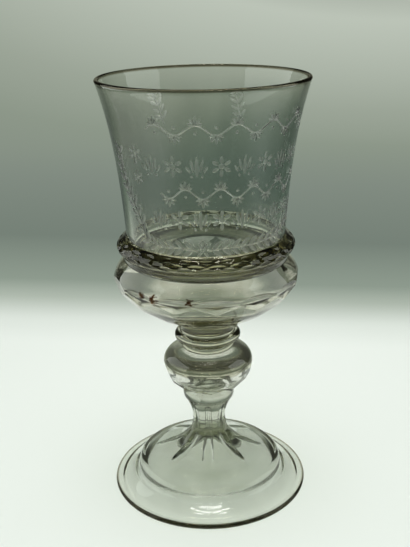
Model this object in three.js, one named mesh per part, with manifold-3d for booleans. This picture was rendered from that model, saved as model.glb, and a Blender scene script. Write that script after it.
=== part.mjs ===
// A footed drinking glass: a flared cup over a hollow faceted bulb, a faceted knop and a fluted stem
// on a wide domed foot. Millimetres, +Z up, the front faces -Y, and the origin is the middle of the
// foot's resting plane. Each hot-joined piece of glass is its own mesh, a small gap away from the next.
import * as THREE from "three";
import { mergeVertices } from "three/addons/utils/BufferGeometryUtils.js";
import Module from "manifold-3d";

const wasm = await Module();
wasm.setup();

// The gap left at every joint between two pieces.
const JOINT_GAP = 0.3;
// Sides of a round surface, and steps along a curved outline.
const ROUND_SIDES = 48;
const CURVE_STEPS = 5;

// Foot: a sloping brim, a steep step and a shallow cone that turns up into the stem.
const FOOT_RADIUS = 47.7;
const FOOT_EDGE = 2.6;
const REST_WIDTH = 2.6;
const BRIM_RISE = 3.7;
const DOME_RADIUS = 35.4;
const DOME_FILLET = 2.4;
const DOME_SIDE = 1.6;
const DOME_SHOULDER = 3.1;
const CONE_RISE = 6.7;
const FLARE_RADIUS = 17;
const FLARE_RISE = 6.9;
const FOOT_WALL = 2.3;
const FOOT_CROWN = 5.5;

// Stem: a waisted trumpet under a rounded collar.
const STEM_HEIGHT = 24;
const STEM_FOOT_RADIUS = 8.9;
const WAIST_RADIUS = 7.7;
const WAIST_RISE = 6.8;
const COLLAR_RADIUS = 12.5;
const COLLAR_HEIGHT = 6.2;

// Flutes of the stem, which run out on the foot's cone and under the collar.
const FLUTES = 8;
const FLUTE_TURN = -3;
const FLUTE_WHEEL_RADIUS = 6;
const FLUTE_DEPTH = 0.8;
const FLUTE_REACH = 7;

// Knop: a hollow pear-shaped ball with two rows of flat cuts on its lower half.
const KNOP_HEIGHT = 20.1;
const KNOP_RADIUS = 21.5;
const KNOP_BELLY = 13.4;
const KNOP_TOP_RADIUS = 12.8;
const KNOP_FOOT_RADIUS = 12.3;
const KNOP_WALL = 3.2;
const KNOP_FLOOR = 5.5;
const KNOP_MOUTH_RADIUS = 6.5;
const KNOP_FACETS = 8;
const KNOP_TURN = -17;
const KNOP_CUT = 0.9;

// Wafer and merese, the two discs between the knop and the bulb.
const WAFER_RADIUS = 12.6;
const WAFER_HEIGHT = 3.6;
const MERESE_HEIGHT = 11.2;
const MERESE_RADIUS = 15.8;
const MERESE_DISC = 4.8;
const MERESE_NECK_RADIUS = 13;

// Bulb: a hollow body with five rows of flat cuts. The heights are those of the row edges above its
// foot, and the radii are those of the row edges.
const BULB_HEIGHT = 30.8;
const BULB_FOOT_RADIUS = 18.3;
const BULB_LOW_RADIUS = 29.1;
const BULB_LOW_HEIGHT = 5.7;
const BULB_MID_RADIUS = 37.1;
const BULB_MID_HEIGHT = 11.5;
const BULB_BELT_RADIUS = 42.5;
const BULB_BELT_HEIGHT = 18.1;
const BULB_RADIUS = 43.35;
const BULB_RADIUS_HEIGHT = 22;
const BULB_TOP_RADIUS = 38.4;
const BULB_WALL = 3;
const BULB_MOUTH_RADIUS = 17.4;
const BULB_FACETS = 12;
const BULB_TURN = 6;
const BULB_CUT = 0.7;

// Cup: a slow taper with a flared rim, a thick floor and a round inner corner.
const CUP_HEIGHT = 81.5;
const CUP_BASE_RADIUS = 35.9;
const CUP_TAPER = 5.1;
const RIM_RADIUS = 47.7;
const FLARE_POWER = 3.2;
const RIM_WALL = 2;
const CUP_WALL = 3.2;
const CUP_FLOOR = 4.5;
const CUP_CORNER = 10;

// Collar ring, laid round the joint of cup and bulb, with three rows of flat cuts.
const RING_HEIGHT = 10.5;
const RING_RADIUS = 41;
const RING_SLOPE = 2.9;
const RING_BELT = 4.2;
const RING_FACETS = 28;
const RING_CUT = 0.3;

// Heights of the stack, each piece standing a joint gap above the one below.
const BRIM_TOP = FOOT_EDGE + BRIM_RISE;
const SHOULDER_TOP = BRIM_TOP + DOME_FILLET + DOME_SIDE + DOME_SHOULDER;
const CONE_SLOPE = CONE_RISE / (DOME_RADIUS - DOME_SHOULDER - FLARE_RADIUS);
const FOOT_HEIGHT = SHOULDER_TOP + CONE_RISE + FLARE_RISE;
const STEM_BASE = FOOT_HEIGHT + JOINT_GAP;
const KNOP_BASE = STEM_BASE + STEM_HEIGHT + JOINT_GAP;
const WAFER_BASE = KNOP_BASE + KNOP_HEIGHT + JOINT_GAP;
const MERESE_BASE = WAFER_BASE + WAFER_HEIGHT + JOINT_GAP;
const BULB_BASE = MERESE_BASE + MERESE_HEIGHT + JOINT_GAP;
const CUP_BASE = BULB_BASE + BULB_HEIGHT + JOINT_GAP;

// Spins an outline of [radius, height] pairs about the upright axis. A low number of sides makes flats,
// with a ridge at the given turn, counted in degrees from the front towards +X.
function spin(outline, sides = ROUND_SIDES, turn = 0) {
  const points = outline.map(([radius, height]) => new THREE.Vector2(radius, height));
  const start = THREE.MathUtils.degToRad(turn);
  const geometry = new THREE.LatheGeometry(points, sides, start, 2 * Math.PI);
  geometry.rotateX(Math.PI / 2);
  return geometry;
}

function toSolid(geometry) {
  const bare = geometry.clone();
  bare.deleteAttribute("normal");
  bare.deleteAttribute("uv");
  const merged = mergeVertices(bare, 1e-4);
  const corners = [];
  for (let i = 0; i < merged.index.count; i += 3) {
    const [a, b, c] = merged.index.array.slice(i, i + 3);
    if (a !== b && b !== c && c !== a) corners.push(a, b, c);
  }
  const vertProperties = new Float32Array(merged.attributes.position.array);
  const triVerts = new Uint32Array(corners);
  return new wasm.Manifold(new wasm.Mesh({ numProp: 3, vertProperties, triVerts }));
}

function toGeometry(solid) {
  const mesh = solid.getMesh();
  const indexed = new THREE.BufferGeometry();
  indexed.setAttribute("position", new THREE.BufferAttribute(mesh.vertProperties, 3));
  indexed.setIndex(new THREE.BufferAttribute(mesh.triVerts, 1));
  const geometry = indexed.toNonIndexed();
  geometry.computeVertexNormals();
  return geometry;
}

// Points of a quarter round from one [radius, height] point to another. The first point's tangent is
// level when level is true, and upright otherwise.
function quarterRound(from, to, level) {
  const points = [];
  for (let step = 0; step <= CURVE_STEPS; step += 1) {
    const angle = (Math.PI / 2) * (step / CURVE_STEPS);
    const early = 1 - Math.cos(angle);
    const late = Math.sin(angle);
    const alongRadius = level ? late : early;
    const alongHeight = level ? early : late;
    points.push([
      from[0] + (to[0] - from[0]) * alongRadius,
      from[1] + (to[1] - from[1]) * alongHeight,
    ]);
  }
  return points;
}

// Cuts rows of flats round a blank, as a flat wheel does. Each row is a straight line of the outline from
// a lower to an upper [radius, height] point, and every second row is turned by half a flat.
function cutFlats(blank, rows, count, turn, depth, bottom, top) {
  const halfPitch = Math.PI / count;
  let solid = blank;
  rows.forEach(([lower, upper], row) => {
    const slope = (upper[0] - lower[0]) / (upper[1] - lower[1]);
    const ridgeAt = (height) => {
      const flat = lower[0] + slope * (height - lower[1]) - depth;
      return Math.max(flat, 0.01) / Math.cos(halfPitch);
    };
    const low = bottom - 1;
    const high = top + 1;
    const outline = [[0, low], [ridgeAt(low), low], [ridgeAt(high), high], [0, high]];
    const rowTurn = turn + (row % 2) * THREE.MathUtils.radToDeg(halfPitch);
    solid = solid.intersect(toSolid(spin(outline, count, rowTurn)));
  });
  return solid;
}

// The trumpet of the stem and the top of the foot, as one smooth line from the cone up to the collar.
function trumpet() {
  const coneTop = FOOT_HEIGHT - FLARE_RISE;
  const collarFoot = STEM_BASE + STEM_HEIGHT - COLLAR_HEIGHT;
  const joint = new THREE.Vector2(STEM_FOOT_RADIUS, FOOT_HEIGHT);
  const waist = new THREE.Vector2(WAIST_RADIUS, FOOT_HEIGHT + WAIST_RISE);
  const run = (FLARE_RADIUS - STEM_FOOT_RADIUS) / 2;
  const foot = new THREE.CubicBezierCurve(
    new THREE.Vector2(FLARE_RADIUS, coneTop),
    new THREE.Vector2(FLARE_RADIUS - run, coneTop + CONE_SLOPE * run),
    new THREE.Vector2(STEM_FOOT_RADIUS + run / 3, FOOT_HEIGHT - FLARE_RISE / 4),
    joint,
  );
  const lowerStem = new THREE.QuadraticBezierCurve(
    joint,
    new THREE.Vector2(WAIST_RADIUS, FOOT_HEIGHT + WAIST_RISE / 2),
    waist,
  );
  const rise = collarFoot - waist.y;
  const upperStem = new THREE.CubicBezierCurve(
    waist,
    new THREE.Vector2(WAIST_RADIUS, waist.y + rise / 2),
    new THREE.Vector2((WAIST_RADIUS + COLLAR_RADIUS) / 2, collarFoot - rise / 4),
    new THREE.Vector2(COLLAR_RADIUS - 1, collarFoot),
  );
  return { foot, lowerStem, upperStem };
}

// One flute cutter: a round bar swept just outside the trumpet, deepest at the waist.
function fluteCutter(turn) {
  const { foot, lowerStem, upperStem } = trumpet();
  const stations = [];
  const addStation = (point, tangent, depth) => {
    const out = new THREE.Vector2(tangent.y, -tangent.x).normalize();
    if (out.x < 0) out.negate();
    stations.push(point.clone().addScaledVector(out, FLUTE_WHEEL_RADIUS - depth));
  };
  const cone = new THREE.Vector2(-1, CONE_SLOPE);
  const coneTop = foot.getPoint(0);
  addStation(coneTop.clone().addScaledVector(cone, -FLUTE_REACH - 3), cone, -1);
  addStation(coneTop.clone().addScaledVector(cone, -FLUTE_REACH), cone, 0);
  addStation(coneTop, foot.getTangent(0), FLUTE_DEPTH * 0.8);
  for (const share of [0.35, 0.7]) {
    addStation(foot.getPoint(share), foot.getTangent(share), FLUTE_DEPTH);
  }
  for (const share of [0, 0.5]) {
    addStation(lowerStem.getPoint(share), lowerStem.getTangent(share), FLUTE_DEPTH);
  }
  for (const share of [0, 0.35, 0.7]) {
    addStation(upperStem.getPoint(share), upperStem.getTangent(share), FLUTE_DEPTH * (1 - share * share));
  }
  addStation(upperStem.getPoint(1), upperStem.getTangent(1), -1.5);
  const angle = THREE.MathUtils.degToRad(turn);
  const path = new THREE.CatmullRomCurve3(stations.map((station) => new THREE.Vector3(
    station.x * Math.sin(angle),
    -station.x * Math.cos(angle),
    station.y,
  )));
  const section = new THREE.Shape();
  section.absarc(0, 0, FLUTE_WHEEL_RADIUS, 0, 2 * Math.PI);
  return new THREE.ExtrudeGeometry(section, { steps: 16, extrudePath: path, curveSegments: 10 });
}

function cutFlutes(solid) {
  let fluted = solid;
  for (let flute = 0; flute < FLUTES; flute += 1) {
    const turn = FLUTE_TURN + (360 / FLUTES) * flute;
    fluted = fluted.subtract(toSolid(fluteCutter(turn)));
  }
  return fluted;
}

function curvePairs(curve, steps) {
  return curve.getPoints(steps).map((point) => [point.x, point.y]);
}

function domedFoot() {
  const edgeCentre = FOOT_RADIUS - FOOT_EDGE / 2;
  const restInner = edgeCentre - REST_WIDTH;
  const filletTop = BRIM_TOP + DOME_FILLET;
  const shoulderFoot = filletTop + DOME_SIDE;
  const coneEdge = DOME_RADIUS - DOME_SHOULDER;
  const crown = FOOT_HEIGHT - FOOT_CROWN;
  const underCone = FOOT_HEIGHT - FLARE_RISE - FOOT_WALL;
  const underside = [
    [0, crown],
    [STEM_FOOT_RADIUS * 0.4, crown - 0.5],
    [STEM_FOOT_RADIUS, (crown + underCone) / 2],
    [FLARE_RADIUS, underCone],
    [coneEdge - FOOT_WALL / 4, SHOULDER_TOP - FOOT_WALL],
    [DOME_RADIUS - FOOT_WALL, shoulderFoot],
    [DOME_RADIUS - FOOT_WALL, filletTop - FOOT_WALL / 2],
    [DOME_RADIUS + DOME_FILLET - FOOT_WALL / 2, BRIM_TOP - FOOT_WALL],
    [restInner, 0],
  ];
  const edge = [
    ...quarterRound([edgeCentre, 0], [FOOT_RADIUS, FOOT_EDGE / 2], true),
    ...quarterRound([FOOT_RADIUS, FOOT_EDGE / 2], [edgeCentre, FOOT_EDGE], false).slice(1),
  ];
  const dome = [
    ...quarterRound([DOME_RADIUS + DOME_FILLET, BRIM_TOP], [DOME_RADIUS, filletTop], true),
    ...quarterRound([DOME_RADIUS, shoulderFoot], [coneEdge, SHOULDER_TOP], false),
  ];
  const flare = curvePairs(trumpet().foot, CURVE_STEPS);
  const outline = [...underside, ...edge, ...dome, ...flare, [0, FOOT_HEIGHT]];
  return toGeometry(cutFlutes(toSolid(spin(outline))));
}

function flutedStem() {
  const { lowerStem, upperStem } = trumpet();
  const top = STEM_BASE + STEM_HEIGHT;
  const collarMiddle = top - COLLAR_HEIGHT / 2;
  const belowCollar = [
    [STEM_FOOT_RADIUS, STEM_BASE],
    ...curvePairs(lowerStem, 5).filter(([, height]) => height > STEM_BASE + JOINT_GAP),
    ...curvePairs(upperStem, CURVE_STEPS).slice(1),
  ];
  const collar = [
    [COLLAR_RADIUS - 0.3, collarMiddle - COLLAR_HEIGHT * 0.35],
    [COLLAR_RADIUS, collarMiddle],
    [COLLAR_RADIUS - 0.2, collarMiddle + COLLAR_HEIGHT * 0.3],
    [COLLAR_RADIUS - 0.8, top],
  ];
  const outline = [[0, STEM_BASE], ...belowCollar, ...collar, [0, top]];
  return toGeometry(cutFlutes(toSolid(spin(outline))));
}

function facetedKnop() {
  const belly = KNOP_BASE + KNOP_BELLY;
  const top = KNOP_BASE + KNOP_HEIGHT;
  const floor = KNOP_BASE + KNOP_FLOOR;
  const inner = KNOP_RADIUS - KNOP_WALL;
  const lower = quarterRound([KNOP_FOOT_RADIUS, KNOP_BASE], [KNOP_RADIUS, belly], true);
  const upper = quarterRound([KNOP_RADIUS, belly], [KNOP_TOP_RADIUS, top], false);
  const blank = [[0, KNOP_BASE], ...lower, ...upper.slice(1), [0, top]];
  const cavity = [
    [0, floor],
    [inner * 0.45, floor + 0.4],
    [inner * 0.85, (floor + belly) / 2],
    ...quarterRound([inner, belly], [KNOP_MOUTH_RADIUS, top - KNOP_WALL], false),
    [KNOP_MOUTH_RADIUS, top + 1],
    [0, top + 1],
  ];
  const middle = KNOP_BASE + KNOP_BELLY * 0.3;
  const middleRadius = KNOP_FOOT_RADIUS + (KNOP_RADIUS - KNOP_FOOT_RADIUS) * 0.62;
  const rows = [
    [[middleRadius, middle], [KNOP_RADIUS, KNOP_BASE + KNOP_BELLY * 0.85]],
    [[KNOP_FOOT_RADIUS + KNOP_CUT, KNOP_BASE], [middleRadius + KNOP_CUT, middle]],
  ];
  const ball = cutFlats(toSolid(spin(blank)), rows, KNOP_FACETS, KNOP_TURN, KNOP_CUT, KNOP_BASE, top);
  return toGeometry(ball.subtract(toSolid(spin(cavity))));
}

function neckWafer() {
  const top = WAFER_BASE + WAFER_HEIGHT;
  const middle = WAFER_BASE + WAFER_HEIGHT / 2;
  const corner = WAFER_RADIUS - WAFER_HEIGHT / 4;
  return spin([
    [0, WAFER_BASE],
    ...quarterRound([corner, WAFER_BASE], [WAFER_RADIUS, middle], true),
    ...quarterRound([WAFER_RADIUS, middle], [corner, top], false).slice(1),
    [0, top],
  ]);
}

function merese() {
  const middle = MERESE_BASE + MERESE_DISC / 2;
  const discTop = MERESE_BASE + MERESE_DISC;
  const corner = MERESE_RADIUS - MERESE_DISC / 2;
  const neckFoot = discTop + (MERESE_HEIGHT - MERESE_DISC) / 4;
  const top = MERESE_BASE + MERESE_HEIGHT;
  return spin([
    [0, MERESE_BASE],
    ...quarterRound([corner, MERESE_BASE], [MERESE_RADIUS, middle], true),
    ...quarterRound([MERESE_RADIUS, middle], [corner, discTop], false).slice(1),
    [MERESE_NECK_RADIUS - 0.4, neckFoot],
    [MERESE_NECK_RADIUS, top],
    [0, top],
  ]);
}

function facetedBulb() {
  const top = BULB_BASE + BULB_HEIGHT;
  const edges = [
    [BULB_FOOT_RADIUS, BULB_BASE],
    [BULB_LOW_RADIUS, BULB_BASE + BULB_LOW_HEIGHT],
    [BULB_MID_RADIUS, BULB_BASE + BULB_MID_HEIGHT],
    [BULB_BELT_RADIUS, BULB_BASE + BULB_BELT_HEIGHT],
    [BULB_RADIUS, BULB_BASE + BULB_RADIUS_HEIGHT],
    [BULB_TOP_RADIUS, top],
  ];
  const rows = edges.slice(1).map((upper, index) => [edges[index], upper]);
  const reach = BULB_RADIUS * 1.1;
  const blank = spin([[0, BULB_BASE], [reach, BULB_BASE], [reach, top], [0, top]]);
  const body = cutFlats(toSolid(blank), rows, BULB_FACETS, BULB_TURN, BULB_CUT, BULB_BASE, top);
  const hollow = edges.slice(1, -1).map(([radius, height]) => [radius - BULB_WALL, height + BULB_WALL / 4]);
  const cavity = [
    [0, BULB_BASE + BULB_WALL],
    [BULB_FOOT_RADIUS - BULB_WALL, BULB_BASE + BULB_WALL],
    ...hollow,
    [BULB_TOP_RADIUS - BULB_WALL, top - BULB_WALL],
    [BULB_MOUTH_RADIUS, top - BULB_WALL],
    [BULB_MOUTH_RADIUS, top + 1],
    [0, top + 1],
  ];
  return toGeometry(body.subtract(toSolid(spin(cavity))));
}

// The cup's outer radius at a height above its base.
function cupRadius(height) {
  const share = height / CUP_HEIGHT;
  const flare = RIM_RADIUS - CUP_BASE_RADIUS - CUP_TAPER;
  return CUP_BASE_RADIUS + CUP_TAPER * share + flare * share ** FLARE_POWER;
}

function cupInnerRadius(height) {
  const share = height / CUP_HEIGHT;
  return cupRadius(height) - CUP_WALL + (CUP_WALL - RIM_WALL) * share;
}

function gobletCup() {
  const steps = 10;
  const lip = CUP_HEIGHT - RIM_WALL / 2;
  const cornerTop = CUP_FLOOR + CUP_CORNER;
  const outer = [];
  const inner = [];
  for (let step = 0; step <= steps; step += 1) {
    const outerHeight = (lip * step) / steps;
    outer.push([cupRadius(outerHeight), CUP_BASE + outerHeight]);
    const innerHeight = lip - ((lip - cornerTop) * step) / steps;
    inner.push([cupInnerRadius(innerHeight), CUP_BASE + innerHeight]);
  }
  const lipMiddle = [(cupRadius(lip) + cupInnerRadius(lip)) / 2, CUP_BASE + CUP_HEIGHT];
  const roundLip = [
    ...quarterRound(outer[steps], lipMiddle, false).slice(1),
    ...quarterRound(lipMiddle, inner[0], true).slice(1, -1),
  ];
  const cornerFoot = [cupInnerRadius(cornerTop) - CUP_CORNER, CUP_BASE + CUP_FLOOR];
  const corner = quarterRound(inner[steps], cornerFoot, false).slice(1);
  return spin([[0, CUP_BASE], ...outer, ...roundLip, ...inner, ...corner, [0, CUP_BASE + CUP_FLOOR]]);
}

function collarRing() {
  const top = CUP_BASE + RING_HEIGHT;
  const beltLow = CUP_BASE + (RING_HEIGHT - RING_BELT) / 2;
  const beltHigh = beltLow + RING_BELT;
  const slope = RING_RADIUS - RING_SLOPE;
  const rows = [
    [[slope, CUP_BASE], [RING_RADIUS, beltLow]],
    [[RING_RADIUS, beltLow], [RING_RADIUS, beltHigh]],
    [[RING_RADIUS, beltHigh], [slope, top]],
  ];
  const reach = RING_RADIUS * 1.1;
  const blank = spin([[0, CUP_BASE], [reach, CUP_BASE], [reach, top], [0, top]]);
  const body = cutFlats(toSolid(blank), rows, RING_FACETS, 0, RING_CUT, CUP_BASE, top);
  const bore = [[0, CUP_BASE - 1], [cupRadius(0) + JOINT_GAP, CUP_BASE - 1]];
  for (const share of [0, 0.5, 1]) {
    const height = RING_HEIGHT * share;
    bore.push([cupRadius(height) + JOINT_GAP, CUP_BASE + height]);
  }
  bore.push([cupRadius(RING_HEIGHT) + JOINT_GAP, top + 1], [0, top + 1]);
  return toGeometry(body.subtract(toSolid(spin(bore))));
}

// Clear glass with a faint olive tint. The thicker pieces read a little darker.
function glass(colour) {
  return new THREE.MeshStandardMaterial({
    color: colour,
    roughness: 0.04,
    metalness: 0,
    transparent: true,
    opacity: 0.4,
  });
}

const CLEAR = 0xd9dccf;
const TINTED = 0xb9bba6;

const goblet = new THREE.Group();
goblet.name = "goblet";

function addPiece(name, geometry, colour) {
  const mesh = new THREE.Mesh(geometry, glass(colour));
  mesh.name = name;
  goblet.add(mesh);
}

addPiece("domed_foot", domedFoot(), CLEAR);
addPiece("fluted_stem", flutedStem(), TINTED);
addPiece("faceted_knop", facetedKnop(), TINTED);
addPiece("neck_wafer", neckWafer(), TINTED);
addPiece("merese", merese(), TINTED);
addPiece("faceted_bulb", facetedBulb(), CLEAR);
addPiece("goblet_cup", gobletCup(), CLEAR);
addPiece("collar_ring", collarRing(), TINTED);

export default goblet;
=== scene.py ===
import math

import bmesh
import bpy
from mathutils import Matrix, Vector


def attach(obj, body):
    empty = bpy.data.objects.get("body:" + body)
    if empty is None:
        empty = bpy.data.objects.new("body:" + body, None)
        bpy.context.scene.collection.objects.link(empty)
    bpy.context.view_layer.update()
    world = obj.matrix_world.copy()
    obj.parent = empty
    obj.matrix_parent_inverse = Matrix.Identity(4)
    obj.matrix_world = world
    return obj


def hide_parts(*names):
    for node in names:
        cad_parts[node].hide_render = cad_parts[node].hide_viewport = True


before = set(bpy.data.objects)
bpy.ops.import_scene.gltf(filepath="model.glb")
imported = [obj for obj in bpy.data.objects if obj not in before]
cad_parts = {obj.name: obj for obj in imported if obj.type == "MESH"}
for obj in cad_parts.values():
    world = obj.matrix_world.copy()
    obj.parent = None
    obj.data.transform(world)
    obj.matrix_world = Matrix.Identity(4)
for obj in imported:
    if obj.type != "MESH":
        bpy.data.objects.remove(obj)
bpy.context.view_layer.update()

MM = 0.001
ROUND_STEPS = 240
CURVE_STEPS = 8
SAME_PLACE = 1e-7

# Foot.
FOOT_RADIUS = 47.7
FOOT_EDGE = 2.6
REST_WIDTH = 2.6
BRIM_TOP = 6.3
BRIM_LINE = [(44.2, 3.05), (42.2, 3.8), (40, 4.98)]
DOME_RADIUS = 35.4
DOME_FILLET = 2.4
DOME_SIDE = 1.6
DOME_SHOULDER = 3.1
SHOULDER_TOP = 13.4
CONE_RISE = 6.7
FLARE_RADIUS = 17
FLARE_RISE = 6.9
FOOT_CROWN = 5.2
FOOT_TOP = 27.0
# The hollow under the foot, as radius and drop from its crown.
FOOT_UNDERSIDE = [
    (0, 0), (2, 0.4), (4.5, 2.7), (7.5, 5.3), (11, 7), (FLARE_RADIUS, 8.3),
    (25, 9.9), (31, 12.9), (35, 16.7), (38, 19), (41.5, 20.4),
]

# Stem.
STEM_TOP = 51.6
STEM_FOOT_RADIUS = 9.2
WAIST_RADIUS = 8.1
WAIST_RISE = 6.8
COLLAR_RADIUS = 12.5
COLLAR_HEIGHT = 6.2
COLLAR_DROP = 0.3
FLUTES = 8
FLUTE_TURN = -3
FLUTE_REACH = 8
# Where a flute runs out on the cone: way below the flare, depth of the cut, radius of the wheel.
FLUTE_RUN_OUT = [(FLUTE_REACH + 4, -1.4, 6), (FLUTE_REACH, 0, 6), (FLUTE_REACH / 2, 0.75, 5.6)]
# The same further up: line of the trumpet, share of its way, depth of the cut, radius of the wheel.
FLUTE_STATIONS = [
    (0, 0, 1.1, 4.8), (0, 0.35, 1.25, 3.8), (0, 0.7, 1.25, 3.2), (1, 0, 1.15, 2.9), (1, 0.5, 1.05, 2.8),
    (2, 0, 1.0, 2.8), (2, 0.35, 0.95, 2.8), (2, 0.7, 0.6, 2.8), (2, 1, -1.5, 2.8),
]

# Knop.
KNOP_TOP = 72.0
KNOP_RADIUS = 21.5
KNOP_BELLY = 13.4
KNOP_TOP_RADIUS = 12.8
KNOP_FOOT_RADIUS = 12.3
KNOP_EDGE = (0.62, 0.3)
KNOP_DISH = [(0, 53.2), (2.1, 53.3), (4, 53.7), (16, 55.7), (18.2, 63.7)]
KNOP_DOME_RADIUS = 6
KNOP_DOME_TOP = 67.5
KNOP_FACETS = 8
KNOP_TURN = -17
KNOP_CUT = 0.9

# Wafer and merese.
WAFER_TOP = 75.9
WAFER_RADIUS = 12.6
MERESE_TOP = 87.4
MERESE_RADIUS = 15.8
MERESE_DISC = 4.8
MERESE_NECK_RADIUS = 13

# Bulb.
BULB_TOP = 118.5
BULB_EDGES = [(18.3, 0), (29.1, 5.7), (37.1, 11.5), (42.5, 18.1), (43.35, 22), (38.4, 31.1)]
BULB_FLOOR = 1.6
BULB_FLOOR_RADIUS = 14.8
BULB_WALLS = [5.4, 2.3, 2.3, 1.9, 2.2]
BULB_CEILING = 1.6
BULB_MOUTH_RADIUS = 17.4
BULB_BODY = [
    (18.3, 0), (29.5, 5.7), (37.6, 11.5), (42.5, 17.6), (43.5, 20.6), (43.2, 22.8), (41.6, 26.6), (38.4, 31.1),
]
BULB_FACETS = 14
BULB_TURN = 6
BULB_CUT = 1.1
BULB_SPECKS = [((-28.2, -31.4, 110.2), 1.5), ((-23.2, -35.4, 109.4), 1.8), ((-7.7, -41.3, 109.8), 1.4)]
SPECK_RAGGED = 7
SPECK_EDGE = 0.3

# Cup and collar ring.
CUP_TOP = 200.0
CUP_HEIGHT = 81.5
CUP_BASE_RADIUS = 35.9
CUP_TAPER = 5.1
RIM_RADIUS = 47.7
FLARE_POWER = 3.2
RIM_WALL = 2
CUP_WALL = 3.2
CUP_FLOOR = 5
CUP_FLOOR_RISE = 0.95
CUP_CORNER = 4.9
RING_HEIGHT = 10.5
RING_LINE = [(38.3, 0), (38.9, 2.4), (39.9, 4.0), (41.2, 5.4), (40.5, 7.8), (37.3, 10.5)]
RING_FACETS = 28
RING_ROWS = [((41.2, 5.4), (1, -0.1)), ((40.9, 7.2), (1, 0.45)), ((39.2, 9.3), (0.7, 0.6))]
RING_HOLLOW = (10.6, 3.9, 1.3)
RING_LIFT = 0.75
RING_FOOT = 3.9

# Engraving.
CUT_DEPTH = 0.34
LEAF_GAP = 0.35
STEM_CUT_RADIUS = 0.42
STEM_CUT_LIFT = 0.12
VINE_WAVE = 2.1

# Radii inside which two neighbouring pieces are melted into each other.
STEM_WELD = 11.5
WAFER_WELD = 11.5
BULB_FOOT_WELD = 12.9
BULB_TOP_WELD = 37.4


# Finishes.


class Signal:
    """One output of a node, on which plain arithmetic can be written."""

    def __init__(self, finish, socket):
        self.finish = finish
        self.socket = socket

    def __add__(self, other):
        return self.finish.maths("ADD", self, other)

    __radd__ = __add__

    def __mul__(self, other):
        return self.finish.maths("MULTIPLY", self, other)

    __rmul__ = __mul__

    def __sub__(self, other):
        return self.finish.maths("SUBTRACT", self, other)

    def __rsub__(self, other):
        return self.finish.maths("SUBTRACT", other, self)

    def __truediv__(self, other):
        return self.finish.maths("DIVIDE", self, other)

    def __pow__(self, other):
        return self.finish.maths("POWER", self, other)

    def __rpow__(self, other):
        return self.finish.maths("POWER", other, self)

    def clamped(self):
        return self.finish.node("ShaderNodeClamp", {}, {"Value": self})


class Finish:
    """A material and the nodes that make it."""

    def __init__(self, name):
        self.material = bpy.data.materials.new(name)
        self.material.use_nodes = True
        self.tree = self.material.node_tree
        self.tree.nodes.clear()

    def node(self, kind, settings, sockets, output=0):
        made = self.tree.nodes.new(kind)
        for key, value in settings.items():
            if key == "stops":
                ramp = made.color_ramp
                while len(ramp.elements) < len(value):
                    ramp.elements.new(0.5)
                for stop, (place, colour) in zip(ramp.elements, value):
                    stop.position = place
                    stop.color = (*colour, 1)
            else:
                setattr(made, key, value)
        for key, value in sockets.items():
            if isinstance(value, Signal):
                self.tree.links.new(value.socket, made.inputs[key])
            else:
                made.inputs[key].default_value = value
        return Signal(self, made.outputs[output]) if made.outputs else None

    def maths(self, operation, a, b):
        return self.node("ShaderNodeMath", {"operation": operation}, {0: a, 1: b})

    def blend(self, share, first, second):
        return self.node("ShaderNodeMix", {"data_type": "RGBA"}, {0: share, 6: first, 7: second}, 2)

    def place(self):
        return self.node("ShaderNodeTexCoord", {}, {}, "Object")

    def part_of(self, place, axis):
        return self.node("ShaderNodeSeparateXYZ", {}, {0: place}, axis)

    def noise(self, scale, stretch=(1, 1, 1), detail=2.0, roughness=0.5):
        stretched = self.node("ShaderNodeMapping", {}, {"Vector": self.place(), "Scale": stretch})
        sockets = {"Vector": stretched, "Scale": scale, "Detail": detail, "Roughness": roughness}
        return self.node("ShaderNodeTexNoise", {}, sockets)

    def bump(self, height, strength, distance):
        sockets = {"Height": height, "Strength": strength, "Distance": distance}
        return self.node("ShaderNodeBump", {}, sockets)

    def light_path(self, ray):
        return self.node("ShaderNodeLightPath", {}, {}, ray)

    def mix(self, share, first, second):
        return self.node("ShaderNodeMixShader", {}, {0: share, 1: first, 2: second})

    def done(self, surface):
        self.node("ShaderNodeOutputMaterial", {}, {"Surface": surface})
        return self.material


# Lamp light kept at each face of the glass: less where the skin is dull, more where it is clear. Under the
# foot's dome the duller glass leaves a painted shadow.
LIGHT_THROUGH = (0.94, 0.945, 0.93, 1)
CLEAR_LIGHT_THROUGH = (0.97, 0.975, 0.965, 1)


def lets_lamps_through(finish, surface, clear_skin):
    """Glass lights what stands behind it, so lamp light passes with only the tint taken out."""
    dull = finish.node("ShaderNodeBsdfTransparent", {}, {"Color": LIGHT_THROUGH})
    bright = finish.node("ShaderNodeBsdfTransparent", {}, {"Color": CLEAR_LIGHT_THROUGH})
    # The duller pass under the foot's dome is a painted shadow.
    clear = finish.mix(clear_skin, dull, bright)
    soft = finish.mix(finish.light_path("Is Diffuse Ray"), surface, clear)
    return finish.mix(finish.light_path("Is Shadow Ray"), soft, clear)


def depth_tint(finish, tint, clear_part):
    """What a ray keeps of its colour after its way through the glass, in metres, to the face it meets."""
    inside = finish.node("ShaderNodeNewGeometry", {}, {}, "Backfacing")
    way = finish.light_path("Ray Length") * inside * (1.0 - 0.92 * clear_part)
    shares = {axis: math.e ** (-taken * way) for axis, taken in zip(("Red", "Green", "Blue"), tint)}
    return finish.node("ShaderNodeCombineColor", {}, shares)


def height_of(finish):
    return finish.part_of(finish.place(), "Z")


def away_from_axis(finish):
    place = finish.place()
    x, y = (finish.part_of(place, axis) for axis in "XY")
    return (x * x + y * y) ** 0.5


def rising(signal, start, stretch):
    """None of it up to a start, all of it a stretch further on."""
    return ((signal - start * MM) / (stretch * MM)).clamped()


def falling(signal, end, stretch):
    """All of it up to a stretch before an end, and none from there on."""
    return ((end * MM - signal) / (stretch * MM)).clamped()


def cup_lip(finish):
    """Share of clear, pale skin on the cup: all of it at the lip, little on the wall below."""
    return rising(height_of(finish), CUP_TOP - 14, 10)


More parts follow.
